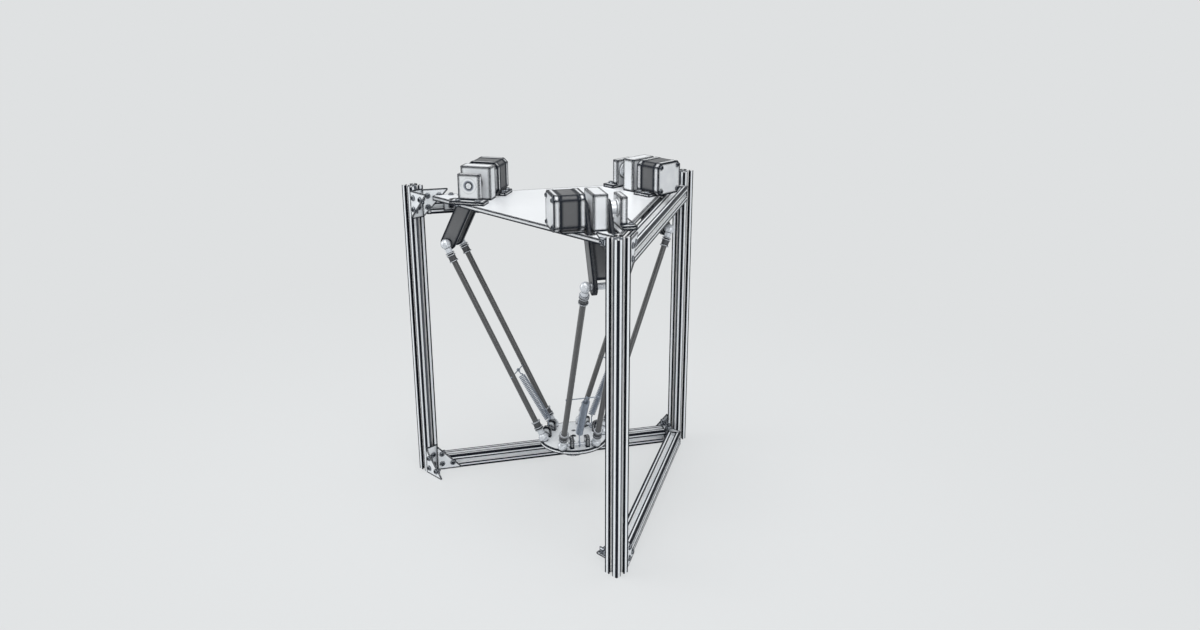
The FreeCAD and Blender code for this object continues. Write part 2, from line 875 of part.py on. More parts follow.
def arm_side_plate(y0):
    """Long plate with full round ends, hanging straight down from the motor axis."""
    round_r = arm_width / 2
    top = rod(round_r, arm_sheet, Vec(0, y0, 0), Vec(0, 1, 0))
    end = rod(round_r, arm_sheet, Vec(0, y0, -arm_length), Vec(0, 1, 0))
    body = box(-round_r, round_r, y0, y0 + arm_sheet, -arm_length, 0)
    holes = [
        rod(shaft_r, arm_sheet, Vec(0, y0, 0), Vec(0, 1, 0)),
        rod(axle_r, arm_sheet, Vec(0, y0, -arm_length), Vec(0, 1, 0)),
    ]
    return cut(fuse([body, top, end]), holes)


def arm_web():
    outer = arm_width / 2 - web_recess
    return box(outer - web_sheet, outer, -arm_inside, arm_inside, -web_end, -web_start)


def swing(shape):
    """From hanging straight down at the origin to the arm's rest angle on the motor axis."""
    tilted = turned(shape, -(90 - arm_angle), Vec(0, 1, 0))
    return moved(tilted, Vec(axis_r, 0, axis_z))


def arm_pieces():
    parts = [arm_side_plate(arm_inside), arm_side_plate(-arm_outside), arm_web()]
    return [swing(part) for part in parts]


def elbow_axle():
    place = Vec(elbow_r, 0, elbow_z)
    shaft = rod(axle_r, 2 * rod_half_spacing, place + Vec(0, -rod_half_spacing, 0), Vec(0, 1, 0))
    balls = [Part.makeSphere(ball_r, place + Vec(0, way * rod_half_spacing, 0)) for way in (-1, 1)]
    return fuse([shaft] + balls)


rod_direction = Vec(-math.cos(psi), 0, -math.sin(psi))


def along_rods(shape, side=0.0):
    """From a rod standing on z (upper ball at 0, lower ball at z = rod_length) to its place."""
    turn = FreeCAD.Rotation(Z, rod_direction)
    placed = FreeCAD.Placement(Vec(elbow_r, side, elbow_z), turn)
    copy = shape.copy()
    copy.Placement = placed.multiply(copy.Placement)
    return copy


def rod_tube():
    start = neck_end + 2 * ring_width + ring_gap
    length = rod_length - 2 * start
    tube = rod(rod_r, length, Vec(0, 0, start))
    wire_way = rod(wire_r + wire_play, 2 * rod_r, Vec(0, -rod_r, rod_length - wire_station),
                   Vec(0, 1, 0))
    return cut(tube, [rod(rod_bore, length, Vec(0, 0, start)), wire_way])


def rod_end(play):
    """Seat that rides on a ball at the origin, with its rings and the sleeve on the tube."""
    plug_start = neck_end + 2 * ring_width + ring_gap
    profile_points = [
        (0, 0), (seat_r, 0), (seat_r, neck_end), (ring_r, neck_end),
        (ring_r, neck_end + ring_width), (seat_r, neck_end + ring_width),
        (seat_r, neck_end + ring_width + ring_gap), (ring_r, neck_end + ring_width + ring_gap),
        (ring_r, plug_start), (sleeve_r, plug_start),
        (sleeve_r, sleeve_end - ring_width), (ring_r, sleeve_end - ring_width),
        (ring_r, sleeve_end), (rod_r, sleeve_end), (rod_r, plug_start),
        (rod_bore, plug_start), (rod_bore, sleeve_end), (0, sleeve_end),
    ]
    wire = Part.makePolygon([Vec(x, 0, z) for x, z in profile_points + profile_points[:1]])
    body = Part.Face(wire).revolve(Vec(0, 0, 0), Z, 360)
    return body.cut(Part.makeSphere(ball_r + play))


def rod_pieces():
    return [along_rods(rod_tube(), way * rod_half_spacing) for way in (-1, 1)]


def rod_end_pieces(lower_play):
    upper = rod_end(seat_play)
    lower = turned(rod_end(lower_play), 180, Vec(1, 0, 0))
    lower = moved(lower, Vec(0, 0, rod_length))
    pieces = []
    for way in (-1, 1):
        pieces.append(along_rods(upper, way * rod_half_spacing))
        pieces.append(along_rods(lower, way * rod_half_spacing))
    return pieces


# Each spring pulls the rods together with the effector: its upper eye hangs on a cross wire
# through both rods, and its lower eye lies round the lower shaft
wire_place = Vec(elbow_r, 0, elbow_z) + rod_direction * (rod_length - wire_station)
foot_place = Vec(ball_axis_r, 0, ball_z + spring_foot)
spring_span = wire_place.distanceToPoint(foot_place)
spring_direction = (wire_place - foot_place) / spring_span


def spring_wire_bar():
    """Cross wire through both rods, with a small head at each end."""
    reach = rod_half_spacing + rod_r + wire_reach
    along = Vec(0, 1, 0)
    pieces = [rod(wire_r, 2 * reach, wire_place - along * reach, along)]
    for way in (-1, 1):
        pieces.append(rod(wire_head_r, wire_head, wire_place + along * way * reach, along * way))
    return fuse(pieces)


def spring_body():
    """Closely wound tension spring as a ribbed barrel, one rib for each turn."""
    end = spring_span - spring_head
    pitch = end / spring_turns
    inner = spring_r - spring_wire
    groove = spring_r - spring_wire * 0.4
    points = [(0, 0)]
    for turn in range(spring_turns):
        z = turn * pitch
        points += [(groove, z), (spring_r, z + pitch * 0.25), (spring_r, z + pitch * 0.75)]
    points += [(groove, end), (0, end), (0, end - spring_wire), (inner, end - spring_wire)]
    points += [(inner, spring_wire), (0, spring_wire)]
    wire = Part.makePolygon([Vec(x, 0, z) for x, z in points + points[:1]])
    barrel = Part.Face(wire).revolve(Vec(0, 0, 0), Z, 360)
    return aimed(barrel, foot_place, spring_direction)


def hook(pin, pin_r, play, body_end):
    """Round eye about a crosswise pin, with a shank into the spring's end turn."""
    way = (body_end - pin).normalize()
    loop_r = pin_r + play + hook_r
    eye = Part.makeTorus(loop_r, hook_r, pin, Vec(0, 1, 0))
    length = pin.distanceToPoint(body_end) - loop_r + spring_wire / 2
    return [eye, rod(shank_r, length, pin + way * loop_r, way)]


def spring_piece():
    head_place = wire_place - spring_direction * spring_head
    lower_axis = Vec(ball_axis_r, 0, ball_z)
    upper = hook(wire_place, wire_r, hook_play, head_place)
    lower = hook(lower_axis, lower_shaft_r, eye_play, foot_place)
    return fuse([spring_body()] + upper + lower)


# Effector, in the robot's axes and with the unit axes for what repeats
def effector_plate():
    disc = rod(effector_r, effector_thickness, Vec(0, 0, disc_bottom))
    disc = bevel_edges(disc, effector_edge, lambda edge: True)
    tools = [rod(tool_bore_r, effector_thickness, Vec(0, 0, disc_bottom))]
    for x, y in flange_screw_places():
        tools.append(rod(small_screw_r, effector_thickness, Vec(x, y, disc_bottom)))
    dimple = Part.makeSphere(ball_r + dimple_gap, Vec(ball_axis_r, rod_half_spacing, ball_z))
    for name in unit_angle:
        tools.append(in_unit(dimple, name))
        tools.append(in_unit(dimple.mirror(Vec(0, 0, 0), Vec(0, 1, 0)), name))
    return cut(disc, tools)


def ring_places(pcd, count, first):
    places = []
    for index in range(count):
        angle = math.radians(first + 360 * index / count)
        places.append((pcd / 2 * math.cos(angle), pcd / 2 * math.sin(angle)))
    return places


def flange_screw_places():
    return ring_places(tool_flange_pcd, tool_screw_count, 45)


def ball_lug(way):
    low = lug_inside if way > 0 else -lug_inside - lug_sheet
    body = box(lug_inner_r, lug_outer_r, low, low + lug_sheet, disc_top, disc_top + lug_height)
    body = round_edges(body, lug_round, lambda edge: runs_along(Vec(0, 1, 0))(edge)
                       and edge.CenterOfMass.z > disc_top + 1)
    return body.cut(rod(lower_shaft_r, lug_sheet, Vec(ball_axis_r, low, ball_z), Vec(0, 1, 0)))


def lower_ball_shaft():
    start = Vec(ball_axis_r, -rod_half_spacing, ball_z)
    shaft = rod(lower_shaft_r, 2 * rod_half_spacing, start, Vec(0, 1, 0))
    balls = [Part.makeSphere(ball_r, Vec(ball_axis_r, way * rod_half_spacing, ball_z))
             for way in (-1, 1)]
    return fuse([shaft] + balls)


def tool_flange_piece():
    flange_low = disc_bottom - tool_flange
    boss_low = flange_low - tool_boss
    body = fuse([
        rod(tool_flange_r, tool_flange, Vec(0, 0, flange_low)),
        rod(tool_boss_r, tool_boss, Vec(0, 0, boss_low)),
    ])
    body = bevel_edges(body, tool_bevel, lambda edge: edge.CenterOfMass.z < boss_low + 0.01)
    tools = [rod(tool_bore_r, tool_flange + tool_boss, Vec(0, 0, boss_low))]
    for x, y in ring_places(tool_pcd, tool_screw_count, 0):
        tools.append(rod(tool_hole_r, tool_hole_depth, Vec(x, y, boss_low)))
    for x, y in flange_screw_places():
        tools.append(rod(small_screw_r, tool_flange, Vec(x, y, flange_low)))
    return cut(body, tools)


def effector_screws():
    bolt = screw(tool_flange + effector_thickness, small_screw_r, small_head_r, small_head_height)
    low = disc_bottom - tool_flange
    return [aimed(bolt, Vec(x, y, low), Vec(0, 0, -1)) for x, y in flange_screw_places()]


def make_units():
    bells = []
    screws = []
    feet = []
    rings = []
    hardware = []
    for name in unit_angle:
        bells += [in_unit(part, name) for part in motor_bells()]
        screws += [in_unit(part, name) for part in motor_screws()]
        feet.append(in_unit(motor_foot(), name))
        rings += [in_unit(part, name) for part in ball_bearings()]
        hardware += [in_unit(part, name) for part in unit_hardware()]
        write("motor_stator_" + name, [in_unit(motor_stator(), name)])
        write("bearing_block_" + name, [in_unit(bearing_block(), name)])
        write("outboard_block_" + name, [in_unit(outboard_block(), name)])
        write("drive_shaft_" + name, [in_unit(drive_shaft(), name)])
        write("arm_plates_" + name, [in_unit(part, name) for part in arm_pieces()])
        write("elbow_axle_" + name, [in_unit(elbow_axle(), name)])
        write("rods_" + name, [in_unit(part, name) for part in rod_pieces()])
        play = seat_play if name == "left" else open_play
        write("rod_ends_" + name, [in_unit(part, name) for part in rod_end_pieces(play)])
        write("spring_wire_" + name, [in_unit(spring_wire_bar(), name)])
        write("spring_" + name, [in_unit(spring_piece(), name)])
    write("motor_bells", bells)
    write("motor_screws", screws)
    write("motor_feet", feet)
    write("shaft_bearings", rings)
    write("unit_screws", hardware)


def make_effector():
    lugs = []
    shafts = []
    for name in unit_angle:
        lugs += [in_unit(ball_lug(way), name) for way in (-1, 1)]
        shafts.append(in_unit(lower_ball_shaft(), name))
    write("effector_plate", [effector_plate()])
    write("ball_lugs", lugs)
    write("lower_ball_shafts", shafts)
    write("tool_flange", [tool_flange_piece()])
    write("effector_screws", effector_screws())


os.makedirs("parts", exist_ok=True)
make_posts()
make_beams()
make_corner_blocks()
make_gussets()
make_top_plate()
make_brackets()
make_frame_hardware()
make_units()
make_effector()
for label, place in (("motor axis", Vec(axis_r, 0, axis_z)), ("elbow", Vec(elbow_r, 0, elbow_z)),
                     ("lower ball", Vec(ball_axis_r, 0, ball_z))):
    for name in unit_angle:
        spot = in_unit(Part.Vertex(place), name).Point
        print("%-10s %-6s %.4f %.4f %.4f" % (label, name, spot.x, spot.y - centre_y, spot.z))
print("rod angle %.5f, disc top %.4f" % (math.degrees(psi), disc_top))
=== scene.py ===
import json
import math

import bpy
import numpy as np
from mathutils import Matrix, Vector


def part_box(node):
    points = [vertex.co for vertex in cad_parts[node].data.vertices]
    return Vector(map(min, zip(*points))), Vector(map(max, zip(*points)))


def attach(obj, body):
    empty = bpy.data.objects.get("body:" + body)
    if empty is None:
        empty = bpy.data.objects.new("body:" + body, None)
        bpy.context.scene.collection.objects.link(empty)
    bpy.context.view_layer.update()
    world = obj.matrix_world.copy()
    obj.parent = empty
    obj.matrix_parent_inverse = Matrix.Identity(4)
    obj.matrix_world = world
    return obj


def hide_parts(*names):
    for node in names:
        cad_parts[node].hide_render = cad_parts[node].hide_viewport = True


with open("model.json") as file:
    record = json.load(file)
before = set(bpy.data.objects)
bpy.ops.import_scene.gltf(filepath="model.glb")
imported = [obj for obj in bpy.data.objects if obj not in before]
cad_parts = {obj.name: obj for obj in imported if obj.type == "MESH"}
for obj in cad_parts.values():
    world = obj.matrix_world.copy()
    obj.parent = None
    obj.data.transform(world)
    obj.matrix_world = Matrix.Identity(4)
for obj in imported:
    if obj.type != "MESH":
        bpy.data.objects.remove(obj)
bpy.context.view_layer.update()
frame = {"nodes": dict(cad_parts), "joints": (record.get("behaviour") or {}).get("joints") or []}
print("frame loaded,", len(frame["nodes"]), "nodes")

mm = 0.001
unitNames = ["left", "right", "rear"]
rightward = Vector((1, 0, 0))
rearward = Vector((0, 1, 0))
upright = Vector((0, 0, 1))


# places that the joints give
def jointNamed(name):
    return next(joint for joint in frame["joints"] if joint["name"] == name)


motorPlace = {name: Vector(jointNamed("arm_" + name + "_swing")["pos_m"]) for name in unitNames}
elbowPlace = {name: Vector(jointNamed("elbow_" + name)["pos_m"]) for name in unitNames}
unitAxis = {name: Vector(jointNamed("elbow_" + name)["axis"]) for name in unitNames}

# every unit is the left one turned about the robot's upright axis, so their mean is on it
robotCentre = sum(motorPlace.values(), Vector()) / len(unitNames)
ballReach = Vector(jointNamed("effector_level")["pos_m"]) - robotCentre
ballRadius = Vector((ballReach.x, ballReach.y)).length


def outwardOf(name):
    away = motorPlace[name] - robotCentre
    return Vector((away.x, away.y, 0)).normalized()


ballPlace = {name: robotCentre + outwardOf(name) * ballRadius + upright * ballReach.z
             for name in unitNames}
rodDirection = {name: (ballPlace[name] - elbowPlace[name]).normalized() for name in unitNames}
armDirection = {name: (elbowPlace[name] - motorPlace[name]).normalized() for name in unitNames}


def middleOf(node):
    low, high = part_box(node)
    return (Vector(low) + Vector(high)) / 2


def halfSize(node):
    low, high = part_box(node)
    return (Vector(high) - Vector(low)) / 2


# shader sockets as Python values
class Signal:
    def __init__(self, finish, socket):
        self.finish = finish
        self.socket = socket

    def maths(self, operation, first, second=0.0):
        inputs = {0: first, 1: second}
        return self.finish.node("ShaderNodeMath", {"operation": operation}, inputs)

    def __add__(self, other):
        return self.maths("ADD", self, other)

    __radd__ = __add__

    def __sub__(self, other):
        return self.maths("SUBTRACT", self, other)

    def __rsub__(self, other):
        return self.maths("SUBTRACT", other, self)

    def __mul__(self, other):
        return self.maths("MULTIPLY", self, other)

    __rmul__ = __mul__

    def __truediv__(self, other):
        return self.maths("DIVIDE", self, other)

    def __pow__(self, other):
        return self.maths("POWER", self, other)

    def __abs__(self):
        return self.maths("ABSOLUTE", self)

    def above(self, level):
        return self.maths("GREATER_THAN", self, level)

    def below(self, level):
        return self.maths("LESS_THAN", self, level)

    def between(self, low, high):
        return self.above(low) * self.below(high)

    def larger(self, other):
        return self.maths("MAXIMUM", self, other)

    def smaller(self, other):
        return self.maths("MINIMUM", self, other)

    # up from 0 to 1 and down again in each step of 1
    def wave(self):
        return self.maths("PINGPONG", self, 0.5) * 2

    # the range from low to high made the range from toLow to toHigh, and held at its ends
    def spread(self, low, high, toLow=0.0, toHigh=1.0):
        inputs = {0: self, 1: low, 2: high, 3: toLow, 4: toHigh}
        return self.finish.node("ShaderNodeMapRange", {"clamp": True}, inputs)


def tone(red, green, blue):
    return (red, green, blue, 1.0)


# Dark lines along the edges. "sheet", "plate" and "block" say how far the normals are rounded
# on thin sheet, flat plates and thick blocks. "bend" says how far a rounded normal leaves the
# face's own where a line starts and where it is full. A low "shine" keeps the lines dark.
edgeLook = {
    "color": tone(0.010, 0.013, 0.019), "sheet": 3.6 * mm, "plate": 4.2 * mm,
    "block": 5.6 * mm, "bend": (0.002, 0.010), "samples": 8, "shine": 0.1,
}


class Finish:
    def __init__(self, name):
        self.material = bpy.data.materials.new(name)
        self.material.use_nodes = True
        self.tree = self.material.node_tree
        self.tree.nodes.clear()
        self.output = self.tree.nodes.new("ShaderNodeOutputMaterial")
        self.place = self.node("ShaderNodeTexCoord", out="Object")
        self.facing = self.node("ShaderNodeTexCoord", out="Normal")

    def node(self, kind, settings=None, inputs=None, out=0):
        made = self.tree.nodes.new(kind)
        for key, value in (settings or {}).items():
            setattr(made, key, value)
        for key, value in (inputs or {}).items():
            if isinstance(value, Signal):
                self.tree.links.new(value.socket, made.inputs[key])
            else:
                made.inputs[key].default_value = value
        return Signal(self, made.outputs[out])

    def dot(self, first, second):
        return self.node("ShaderNodeVectorMath", {"operation": "DOT_PRODUCT"},
                         {0: first, 1: second}, "Value")

    # a place along a line, in metres from a point on it
    def along(self, direction, start=Vector()):
        moved = self.node("ShaderNodeVectorMath", {"operation": "SUBTRACT"},
                          {0: self.place, 1: start})
        return self.dot(moved, direction)

    # distance from a line, given a point on it and two directions across it
    def fromLine(self, point, first, second):
        across = self.along(first, point)
        deep = self.along(second, point)
        return (across * across + deep * deep) ** 0.5

    # how nearly a face looks along a line, from 0 to 1
    def facesAlong(self, direction):
        return abs(self.dot(self.facing, direction))

    def noise(self, vector, scale, detail, rough=0.5):
        return self.node("ShaderNodeTexNoise", {},
                         {"Vector": vector, "Scale": scale, "Detail": detail,
                          "Roughness": rough})

    # soft patches, by their number in a metre
    def clouds(self, perMetre, detail, rough=0.5):
        return self.noise(self.place, perMetre, detail, rough)

    # fine lines along a direction, by their length and width
    def streaks(self, direction, length, width, detail):
        turn = rightward.rotation_difference(direction).to_euler()
        stretched = self.node("ShaderNodeMapping", {"vector_type": "TEXTURE"},
                              {"Vector": self.place, "Rotation": turn,
                               "Scale": (length, width, width)})
        return self.noise(stretched, 1, detail)

    def cells(self, perMetre):
        return self.node("ShaderNodeTexVoronoi", {}, {"Vector": self.place, "Scale": perMetre})

    def blend(self, factor, first, second):
        return self.node("ShaderNodeMix", {"data_type": "RGBA"},
                         {0: factor, 6: first, 7: second}, 2)

    # edges, where the normal rounded over a small reach leaves the face's own normal
    def edges(self, reach):
        rounded = self.node("ShaderNodeBevel", {"samples": edgeLook["samples"]},
                            {"Radius": reach})
        own = self.node("ShaderNodeNewGeometry", out="Normal")
        return (1 - self.dot(rounded, own)).spread(*edgeLook["bend"])

    def lined(self, color, reach=edgeLook["sheet"], where=1.0):
        return self.blend(self.edges(reach) * where, color, edgeLook["color"])

    # the look's "bump" is a strength and a depth, and its other keys here are single numbers
    def surface(self, look, color, rough, height=None):
        sockets = {"metal": "Metallic", "coat": "Coat Weight", "coatRough": "Coat Roughness",
                   "shine": "Specular IOR Level"}
        chosen = {"shine": edgeLook["shine"], **look}
        inputs = {sockets[key]: chosen[key] for key in sockets if key in chosen}
        inputs.update({"Base Color": color, "Roughness": rough})
        if height is not None:
            strength, depth = look["bump"]
            inputs["Normal"] = self.node("ShaderNodeBump", {}, {
                "Height": height, "Strength": strength, "Distance": depth})
        shader = self.node("ShaderNodeBsdfPrincipled", {}, inputs)
        self.tree.links.new(shader.socket, self.output.inputs["Surface"])
        return self.material


# The looks below share these forms. A range of two numbers is spread from 0 to 1, and one of
# four from its first two to its last two. Streaks have a length, a width and a detail. Clouds
# have their number in a metre, a detail and sometimes a roughness.


# two tones in soft patches, with a fine grain and sometimes dark edges
def plainFinish(name, look):
    finish = Finish(name)
    cloud = finish.clouds(*look["cloud"])
    fine = finish.clouds(*look["fine"])
    color = finish.blend(cloud.spread(*look["brightRange"]), look["color"], look["bright"])
    if "edge" in look:
        color = finish.lined(color, look["edge"])
    return finish.surface(look, color, fine.spread(*look["rough"]),
                          fine if "bump" in look else None)


# Slotted profile: satin anodised, with die lines along the bar, dark lines at its corners and
# slot mouths, and bright sawn ends. Distances are from the bar's middle. The outer faces start
# at "outside". A slot is "wall" down to "shoulder", "pale" down to "foot", and "deep" below;
# these three are painted light and painted shade in the slot, not the bar's own colour.
# On an outer face one line runs beyond "corner", and another within "mouth".
profileLook = {
    "color": tone(0.84, 0.86, 0.88), "dull": tone(0.76, 0.785, 0.81),
    "sawn": tone(0.80, 0.81, 0.82), "line": tone(0.008, 0.010, 0.016),
    "pale": tone(0.99, 0.99, 0.99), "outside": 9.62 * mm, "shoulder": 5.8 * mm,
    "dieLines": (90 * mm, 0.35 * mm, 3), "lineRange": (0.35, 0.65),
    "cloud": (22, 3), "dullRange": (0.3, 0.7, 0, 0.35),
    "saw": (30 * mm, 0.25 * mm, 2), "sawnEdge": 1.6 * mm, "endFacing": 0.9,
    "marks": (160, 2), "markRough": (0.66, 0.74, 0, 0.1),
    "rough": (0.3, 0.7, 0.32, 0.46), "metal": 0.25, "bump": (0.18, 0.04 * mm),
}
# the posts' slots: black painted shade on the walls, a white band of painted light, and dark
# painted shade at the bottom
postLook = {
    **profileLook, "wall": profileLook["line"], "deep": tone(0.22, 0.24, 0.27),
    "corner": 7.5 * mm, "mouth": 4.3 * mm, "foot": 4.5 * mm,
}
# the beams' slots: painted light, paler than the bar's faces, on the walls and at the bottom
beamLook = {
    **profileLook, "wall": tone(0.97, 0.98, 0.99), "deep": tone(0.92, 0.94, 0.96),
    "corner": 6.9 * mm, "mouth": 5.0 * mm, "foot": 4.2 * mm,
}


def profileFinish(name, direction, sideways, node, look):
    finish = Finish(name)
    middle = middleOf(node)
    first = abs(finish.along(sideways, middle))
    second = abs(finish.along(direction.cross(sideways), middle))
    far = first.larger(second)
    near = first.smaller(second)
    lines = finish.streaks(direction, *look["dieLines"])
    cloud = finish.clouds(*look["cloud"])
    ends = finish.facesAlong(direction).above(look["endFacing"])
    saw = finish.streaks(rightward, *look["saw"])
    mark = finish.clouds(*look["marks"])
    color = finish.blend(lines.spread(*look["lineRange"]), look["dull"], look["color"])
    color = finish.blend(cloud.spread(*look["dullRange"]), color, look["dull"])
    edge = near.above(look["corner"]).larger(near.below(look["mouth"]))
    color = finish.blend(edge, color, look["line"])
    # painted light and painted shade inside the slot, by depth from the bar's middle
    slotLightAndShade = finish.blend(far.below(look["shoulder"]), look["wall"], look["pale"])
    slotLightAndShade = finish.blend(far.below(look["foot"]), slotLightAndShade, look["deep"])
    color = finish.blend(far.below(look["outside"]), color, slotLightAndShade)
    color = finish.blend(ends, color, finish.lined(look["sawn"], look["sawnEdge"]))
    texture = lines * (1 - ends) + saw * ends
    rough = texture.spread(*look["rough"]) + mark.spread(*look["markRough"])
    return finish.surface(look, color, rough, texture)


# corner blocks: cast and tumbled, worn bright in patches
castLook = {
    "color": tone(0.60, 0.62, 0.64), "worn": tone(0.74, 0.75, 0.77),
    "cloud": (70, 4), "wornRange": (0.35, 0.7), "pits": 1500, "pitShare": 0.5,
    "grit": (900, 3), "rough": (0.3, 0.7, 0.58, 0.42), "metal": 0.5, "bump": (0.3, 0.1 * mm),
}


def castFinish(name):
    look = castLook
    finish = Finish(name)
    pits = finish.cells(look["pits"])
    cloud = finish.clouds(*look["cloud"])
    color = finish.blend(cloud.spread(*look["wornRange"]), look["color"], look["worn"])
    height = pits * look["pitShare"] + finish.clouds(*look["grit"]) * (1 - look["pitShare"])
    return finish.surface(look, finish.lined(color), cloud.spread(*look["rough"]), height)


# sheet gussets and brackets: brushed faces with a few scratches
sheetLook = {
    "color": tone(0.84, 0.86, 0.88), "dull": tone(0.77, 0.79, 0.815),
    "brush": (12 * mm, 0.12 * mm, 3), "brushRange": (0.35, 0.65),
    "cloud": (55, 3), "dullRange": (0.45, 0.75, 0, 0.4),
    "scratch": (9 * mm, 0.3 * mm, 1), "scratchWay": Vector((1, 1, 1)).normalized(),
    "scratchRange": (0.70, 0.73), "scratchRough": 0.12, "scratchDepth": 0.6,
    "rough": (0.3, 0.7, 0.28, 0.42), "metal": 0.25, "bump": (0.2, 0.03 * mm),
}


def sheetFinish(name):
    look = sheetLook
    finish = Finish(name)
    brush = finish.streaks(upright, *look["brush"])
    cloud = finish.clouds(*look["cloud"])
    scratch = finish.streaks(look["scratchWay"], *look["scratch"]).spread(*look["scratchRange"])
    color = finish.blend(brush.spread(*look["brushRange"]), look["dull"], look["color"])
    color = finish.blend(cloud.spread(*look["dullRange"]), color, look["dull"])
    rough = brush.spread(*look["rough"]) + scratch * look["scratchRough"]
    height = brush - scratch * look["scratchDepth"]
    return finish.surface(look, finish.lined(color), rough, height)


# flat plates: anodised, brushed one way, their sawn sides dark along the rims
plateLook = {
    "color": tone(0.83, 0.845, 0.86), "dull": tone(0.75, 0.765, 0.785),
    "line": 1.3 * mm, "sideFacing": 0.5,
    "brush": (40 * mm, 0.18 * mm, 3), "brushRange": (0.35, 0.65),
    "cloud": (14, 4), "cloudRange": (0.4, 0.7, 0, 0.4),
    "handling": (45, 5, 0.65), "handlingRough": (0.55, 0.72, 0, 0.06),
    "rough": (0.3, 0.7, 0.32, 0.42), "metal": 0.35, "bump": (0.12, 0.03 * mm),
}


def plateFinish(name, direction, node):
    look = plateLook
    finish = Finish(name)
    height = abs(finish.along(upright, middleOf(node)))
    rim = (height.above(halfSize(node).z - look["line"])
           * finish.facesAlong(upright).below(look["sideFacing"]))
    brush = finish.streaks(direction, *look["brush"])
    cloud = finish.clouds(*look["cloud"])
    handling = finish.clouds(*look["handling"])
    color = finish.blend(brush.spread(*look["brushRange"]), look["dull"], look["color"])
    color = finish.blend(cloud.spread(*look["cloudRange"]), color, look["color"])
    color = finish.blend(rim, finish.lined(color, edgeLook["plate"]), edgeLook["color"])
    rough = brush.spread(*look["rough"]) + handling.spread(*look["handlingRough"])
    return finish.surface(look, color, rough, brush)


# the tool disc and its flange: turned, fine rings about the middle, rims dark
discLook = {
    "color": tone(0.91, 0.925, 0.94), "dull": tone(0.84, 0.86, 0.88), "line": 1.9 * mm,
    "rings": 5200.0, "ringDetail": 2.0, "ringRange": (0.3, 0.7),
    "cloud": (60, 3), "cloudRough": (0.5, 0.8, 0, 0.08),
    "rough": (0.3, 0.7, 0.26, 0.40), "metal": 0.2, "bump": (0.2, 0.03 * mm),
}


def turnedFinish(name, node):
    look = discLook
    finish = Finish(name)
    middle = middleOf(node)
    half = halfSize(node)
    radius = finish.fromLine(middle, rightward, rearward)
    height = abs(finish.along(upright, middle))
    rim = radius.above(half.x - look["line"]) * height.above(half.z - look["line"])
    rings = finish.node("ShaderNodeTexNoise", {"noise_dimensions": "1D"},
                        {"W": radius * look["rings"], "Scale": 1.0,
                         "Detail": look["ringDetail"]})
    cloud = finish.clouds(*look["cloud"])
    color = finish.blend(rings.spread(*look["ringRange"]), look["dull"], look["color"])
    color = finish.blend(rim, finish.lined(color), edgeLook["color"])
    rough = rings.spread(*look["rough"]) + cloud.spread(*look["cloudRough"])
    return finish.surface(look, color, rough, rings)


# screws and nuts: bright zinc
zincLook = {
    "color": tone(0.46, 0.49, 0.53), "bright": tone(0.64, 0.67, 0.71), "edge": 2.2 * mm,
    "cloud": (260, 3), "brightRange": (0.35, 0.7), "fine": (1900, 2),
    "rough": (0.3, 0.7, 0.26, 0.44), "metal": 0.7, "bump": (0.12, 0.03 * mm),
}

# motor ends: die cast
bellLook = {
    "color": tone(0.70, 0.715, 0.735), "bright": tone(0.79, 0.80, 0.81),
    "edge": edgeLook["block"], "cloud": (80, 3), "brightRange": (0.35, 0.7),
    "fine": (1100, 3), "rough": (0.3, 0.7, 0.38, 0.52), "metal": 0.5,
    "bump": (0.22, 0.06 * mm),
}

# drive shafts: ground steel
shaftLook = {
    "color": tone(0.74, 0.76, 0.79), "bright": tone(0.84, 0.86, 0.88), "edge": 0.7 * mm,
    "cloud": (120, 3), "brightRange": (0.35, 0.7), "fine": (1400, 2),
    "rough": (0.3, 0.7, 0.20, 0.34), "metal": 0.5, "bump": (0.06, 0.02 * mm),
}

# balls on their shafts: polished, with no bump
ballLook = {
    "color": tone(0.60, 0.625, 0.66), "bright": tone(0.72, 0.74, 0.77), "edge": 1.2 * mm,
    "cloud": (220, 3), "brightRange": (0.4, 0.7), "fine": (220, 3),
    "rough": (0.3, 0.7, 0.20, 0.32), "metal": 0.45,
}

# springs and their cross wires: drawn wire, with no dark edges
wireLook = {
    "color": tone(0.19, 0.22, 0.27), "bright": tone(0.36, 0.40, 0.46),
    "cloud": (900, 2), "brightRange": (0.35, 0.7), "fine": (900, 2),
    "rough": (0.3, 0.7, 0.26, 0.40), "metal": 0.7, "bump": (0.08, 0.02 * mm),
}

# motor bodies: stacked dark laminations
laminationLook = {
    "color": tone(0.14, 0.142, 0.146), "gap": tone(0.06, 0.061, 0.063),
    "stain": tone(0.17, 0.172, 0.176), "sheet": 0.5 * mm, "gapRange": (0.0, 0.35),
    "cloud": (90, 4), "stainRange": (0.55, 0.8, 0, 0.4),
    "rough": (0.3, 0.7, 0.38, 0.52), "metal": 0.25, "bump": (0.35, 0.06 * mm),
}


def laminationFinish(name, direction):
    look = laminationLook
    finish = Finish(name)
    sheets = (finish.along(direction) / look["sheet"]).wave().spread(*look["gapRange"])
    cloud = finish.clouds(*look["cloud"])
    color = finish.blend(sheets, look["gap"], look["color"])
    color = finish.blend(cloud.spread(*look["stainRange"]), color, look["stain"])
    return finish.surface(look, finish.lined(color, edgeLook["block"]),
                          cloud.spread(*look["rough"]), sheets)


# bearing blocks and lugs: milled, with fine tool marks, and no lines within "bore" of a shaft
milledLook = {
    "color": tone(0.84, 0.855, 0.87), "dull": tone(0.77, 0.785, 0.80), "bore": 9.6 * mm,
    "marks": (25 * mm, 0.22 * mm, 2), "markRange": (0.3, 0.7),
    "cloud": (70, 3), "dullRange": (0.45, 0.75, 0, 0.35),
    "rough": (0.3, 0.7, 0.30, 0.42), "metal": 0.45, "bump": (0.15, 0.03 * mm),
}


def fromShafts(finish):
    nearest = None
    for name in unitNames:
        radius = finish.fromLine(motorPlace[name], outwardOf(name), upright)
        nearest = nearest.smaller(radius) if nearest else radius
    return nearest


